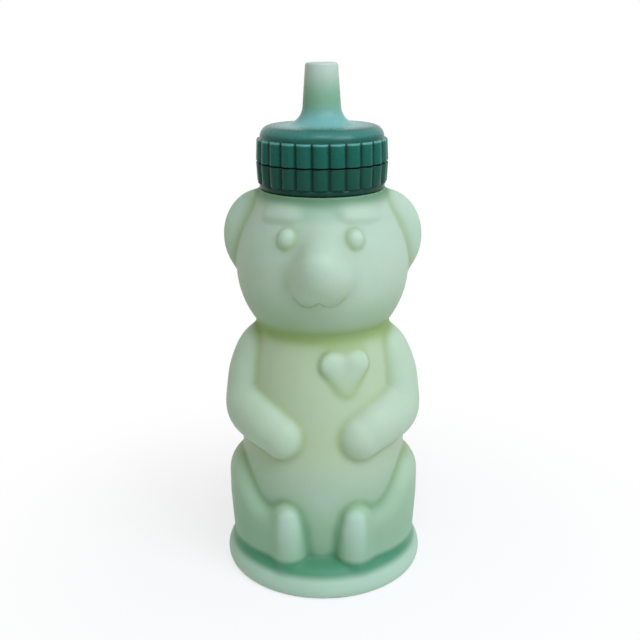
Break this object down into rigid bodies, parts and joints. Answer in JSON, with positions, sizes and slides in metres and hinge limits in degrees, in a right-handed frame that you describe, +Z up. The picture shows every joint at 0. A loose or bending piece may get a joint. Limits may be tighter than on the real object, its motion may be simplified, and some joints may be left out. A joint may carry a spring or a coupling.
{
  "type": "honey bear bottle",
  "caption": "Soft bear-shaped squeeze bottle for honey; the ribbed cap's lower band unscrews from the neck and its upper band twists up to open the spout.",
  "frame": {"origin": "middle of the flat base, on the surface it stands on", "axes": "+Z up along the bottle's axis, -Y the way the bear looks, +X towards the bear's left side"},
  "size_m": [0.071, 0.0732, 0.1733],
  "materials": {
    "bear_silicone": "matte, milky translucent",
    "neck_plastic": "satin",
    "gasket_rubber": "matte",
    "collar_plastic": "satin",
    "stopper_plastic": "satin",
    "seal_rubber": "matte",
    "spout_silicone": "satin, slightly translucent"
  },
  "bodies": {
    "bottle": {"bear_body": "bear_silicone", "neck_insert": "neck_plastic"},
    "gasket": {"neck_gasket": "gasket_rubber"},
    "collar": {"screw_collar": "collar_plastic", "stopper": "stopper_plastic"},
    "seal": {"spout_seal": "seal_rubber"},
    "spout": {"spout_cap": "spout_silicone"}
  },
  "joints": [
    {"name": "cap_rise", "type": "slide", "parent": "bottle", "child": "gasket", "axis": [0, 0, 1], "range_m": [0, 0.0064]},
    {"name": "cap_unscrew", "type": "hinge", "parent": "gasket", "child": "collar", "pos_m": [0, 0, 0.1396], "axis": [0, 0, 1], "range_deg": [0, 540]},
    {"name": "spout_rise", "type": "slide", "parent": "collar", "child": "seal", "axis": [0, 0, 1], "range_m": [0, 0.0041]},
    {"name": "spout_twist", "type": "hinge", "parent": "seal", "child": "spout", "pos_m": [0, 0, 0.145], "axis": [0, 0, 1], "range_deg": [0, 120]}
  ],
  "couplings": [
    {"joint": "cap_rise", "follows": "cap_unscrew", "m_per_rad": 0.00066845},
    {"joint": "spout_rise", "follows": "spout_twist", "m_per_rad": 0.0019099}
  ]
}
